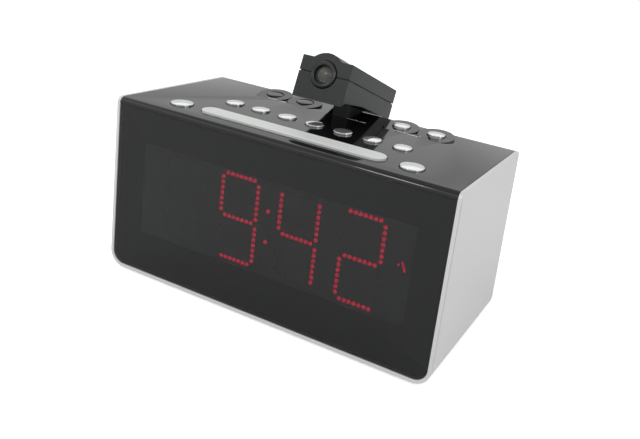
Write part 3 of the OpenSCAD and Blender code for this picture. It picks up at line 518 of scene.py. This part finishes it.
def new_piece(name, form, finish):
    """Turns a bmesh into a smooth-shaded object with a finish."""
    mesh = bpy.data.meshes.new(name)
    bmesh.ops.recalc_face_normals(form, faces=form.faces)
    form.to_mesh(mesh)
    form.free()
    piece = bpy.data.objects.new(name, mesh)
    bpy.context.scene.collection.objects.link(piece)
    mesh.materials.append(FINISHES[finish].material)
    smooth(piece)
    return piece


def closed_tube(form, rings):
    """Faces between successive rings of vertices, and over both ends."""
    for ring, beyond in zip(rings, rings[1:]):
        for i in range(len(ring)):
            j = (i + 1) % len(ring)
            form.faces.new((ring[i], ring[j], beyond[j], beyond[i]))
    form.faces.new(rings[0])
    form.faces.new(rings[-1])


ISLAND_MERGE_MM = 0.002


def islands(mesh):
    """The lowest and highest corners of each separate piece of a mesh."""
    form = bmesh.new()
    form.from_mesh(mesh)
    bmesh.ops.remove_doubles(form, verts=form.verts, dist=ISLAND_MERGE_MM * MM)
    left = set(form.verts)
    boxes = []
    while left:
        group = [left.pop()]
        for vert in group:
            for edge in vert.link_edges:
                other = edge.other_vert(vert)
                if other in left:
                    left.remove(other)
                    group.append(other)
        low = Vector([min(vert.co[axis] for vert in group) for axis in range(3)])
        high = Vector([max(vert.co[axis] for vert in group) for axis in range(3)])
        boxes.append((low, high))
    form.free()
    return sorted(boxes, key=lambda box: tuple(box[0]))


DOT_SIDES = 16
DOT_RINGS = 4
DOT_RIM_MM = 0.12
DOT_RISE_MM = 0.65


def domed_dots(node):
    """Each light dot of a node as a low dome on the face of the display block."""
    form = bmesh.new()
    for low, high in islands(NODES[node].data):
        middle = (low + high) / 2
        radius = (high.x - low.x) / 2
        circles = [(radius, high.y)]
        for k in range(DOT_RINGS):
            lean = math.pi / 2 * k / DOT_RINGS
            rise_mm = DOT_RISE_MM * math.sin(lean) - DOT_RIM_MM
            circles.append((radius * math.cos(lean), low.y - rise_mm * MM))
        turns = [2 * math.pi * i / DOT_SIDES for i in range(DOT_SIDES)]
        closed_tube(form, [
            [
                form.verts.new((
                    middle.x + reach * math.cos(turn), depth, middle.z + reach * math.sin(turn)
                ))
                for turn in turns
            ]
            for reach, depth in circles
        ])
    adopt(new_piece(node + "_domed", form, SLOT_OF[node]), node)


# the sloping bosses round the rear keys
BOSS_RADIUS_MM = 9.8
BOSS_HIGH_MM = 2.1
BOSS_SUNK_MM = 0.15
BOSS_CENTRES_MM = [BODY_INVERSE @ middle_of(node) / MM
                   for node in sorted(NODES) if node.startswith("rear_key")]


def boss_rise_mm(x, y):
    """How far the cover's face stands over its level part at a place in the body frame."""
    for centre in BOSS_CENTRES_MM:
        if (x - centre.x) ** 2 + (y - centre.y) ** 2 < BOSS_RADIUS_MM ** 2:
            along = (y - centre.y + BOSS_RADIUS_MM) / (2 * BOSS_RADIUS_MM)
            return max(0, -BOSS_SUNK_MM + along * (BOSS_HIGH_MM + BOSS_SUNK_MM))
    return 0.0


MARK_Y_MM = 65.6
MARK_WIDTH_MM = 0.8
MARK_END_MM = 0.1
MARK_HEIGHT_MM = 0.03
MARK_STEP_MM = 0.3
MARK_SPANS_MM = {
    "mark_left": [(-46.4, -34.6)],
    "mark_middle": [(3.6, 11.2), (11.9, 15.7)],
    "mark_right": [(31.8, 47.6)],
}
MARK_SECTION = ((-1, -1), (1, -1), (1, 1), (-1, 1))


def printed_mark(name):
    """Plain printed lines with round ends, which follow the top cover's face."""
    form = bmesh.new()
    half = MARK_WIDTH_MM / 2
    for start, end in MARK_SPANS_MM[name]:
        steps = round((end - start) / MARK_STEP_MM)
        rings = []
        for k in range(steps + 1):
            x = start + (end - start) * k / steps
            inside = min(x - start, end - x, half)
            reach = max(math.sqrt(half ** 2 - (half - inside) ** 2), MARK_END_MM / 2)
            rise = boss_rise_mm(x, MARK_Y_MM)
            corners = [Vector((x, MARK_Y_MM + side * reach, rise + up * MARK_HEIGHT_MM))
                       for side, up in MARK_SECTION]
            rings.append([form.verts.new(BODY @ (corner * MM)) for corner in corners])
        closed_tube(form, rings)
    piece = new_piece(name, form, "print_white")
    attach(piece, "housing")


# ---------------------------------------------------------------- the whole clock

EDGE_RADIUS_MM = {
    "silver_shell": 0.3,
    "top_cover": 0.2,
    "rear_cover": 0.25,
    "rubber_feet": 0.3,
    "front_window": 0.2,
    "snooze_bar": 0.45,
    "neck": 0.25,
    "lead_gland": 0.3,
    "battery_door": 0.25,
}
POD_SHELLS = ("pod_upper", "pod_lower")
POD_RADIUS_MM = 0.6
KEYS = ("row_key", "large_key", "rear_key")
KEY_RADIUS_MM = 0.3

make_stage()
FINISHES = make_finishes()
for node in sorted(NODES):
    if node in POD_SHELLS:
        rounded(node, POD_RADIUS_MM, pod_edge_share)
    elif node in EDGE_RADIUS_MM:
        rounded(node, EDGE_RADIUS_MM[node])
    elif node.startswith(KEYS):
        rounded(node, KEY_RADIUS_MM)
    elif node.startswith("display_dots"):
        domed_dots(node)
    else:
        plain(node)
for name in MARK_SPANS_MM:
    printed_mark(name)
